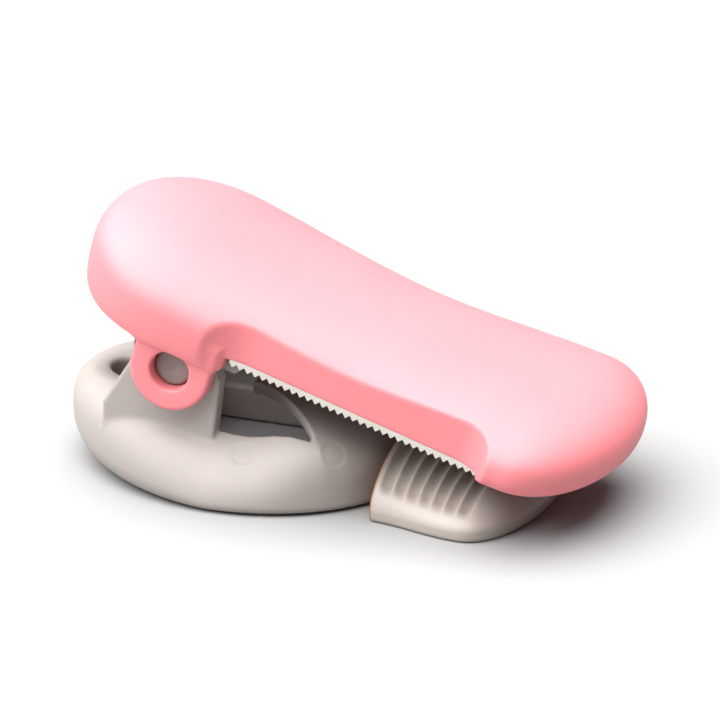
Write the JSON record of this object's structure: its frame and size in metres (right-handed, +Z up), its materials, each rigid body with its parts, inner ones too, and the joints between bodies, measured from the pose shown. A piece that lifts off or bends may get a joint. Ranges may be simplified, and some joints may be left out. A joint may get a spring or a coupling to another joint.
{
  "type": "clip-on tape cutter",
  "caption": "Spring clip tape cutter: hinged cover with a serrated blade over an oval lower lever with a ribbed grip pad.",
  "frame": {"origin": "on the rest plane, under the middle of the closed cutter's length, on its centre plane", "axes": "+X from the finger end to the jaw end, +Y away from the blade's side, +Z up from the surface it rests on"},
  "size_m": [0.059, 0.0298, 0.0268],
  "materials": {
    "cover_plastic": "smooth satin moulded ABS",
    "blade_steel": "thin rolled stainless strip",
    "holder_plastic": "translucent grey moulding",
    "lever_plastic": "satin moulded warm grey",
    "pad_plastic": "satin moulded warm grey",
    "pin_plastic": "moulded acetal",
    "spring_steel": "dark drawn spring wire"
  },
  "bodies": {
    "lever": {"lower_lever": "lever_plastic", "grip_pad": "pad_plastic", "pivot_pin": "pin_plastic", "torsion_spring": "spring_steel"},
    "cover": {"top_cover": "cover_plastic", "blade": "blade_steel", "blade_holder": "holder_plastic"}
  },
  "joints": [
    {"name": "cover_hinge", "type": "hinge", "parent": "lever", "child": "cover", "pos_m": [-0.01504, 0, 0.014], "axis": [0, -1, 0], "range_deg": [0, 25], "stiffness_Nm_per_rad": 0.06, "springref_deg": -28.65, "deforming": ["torsion_spring"]}
  ]
}
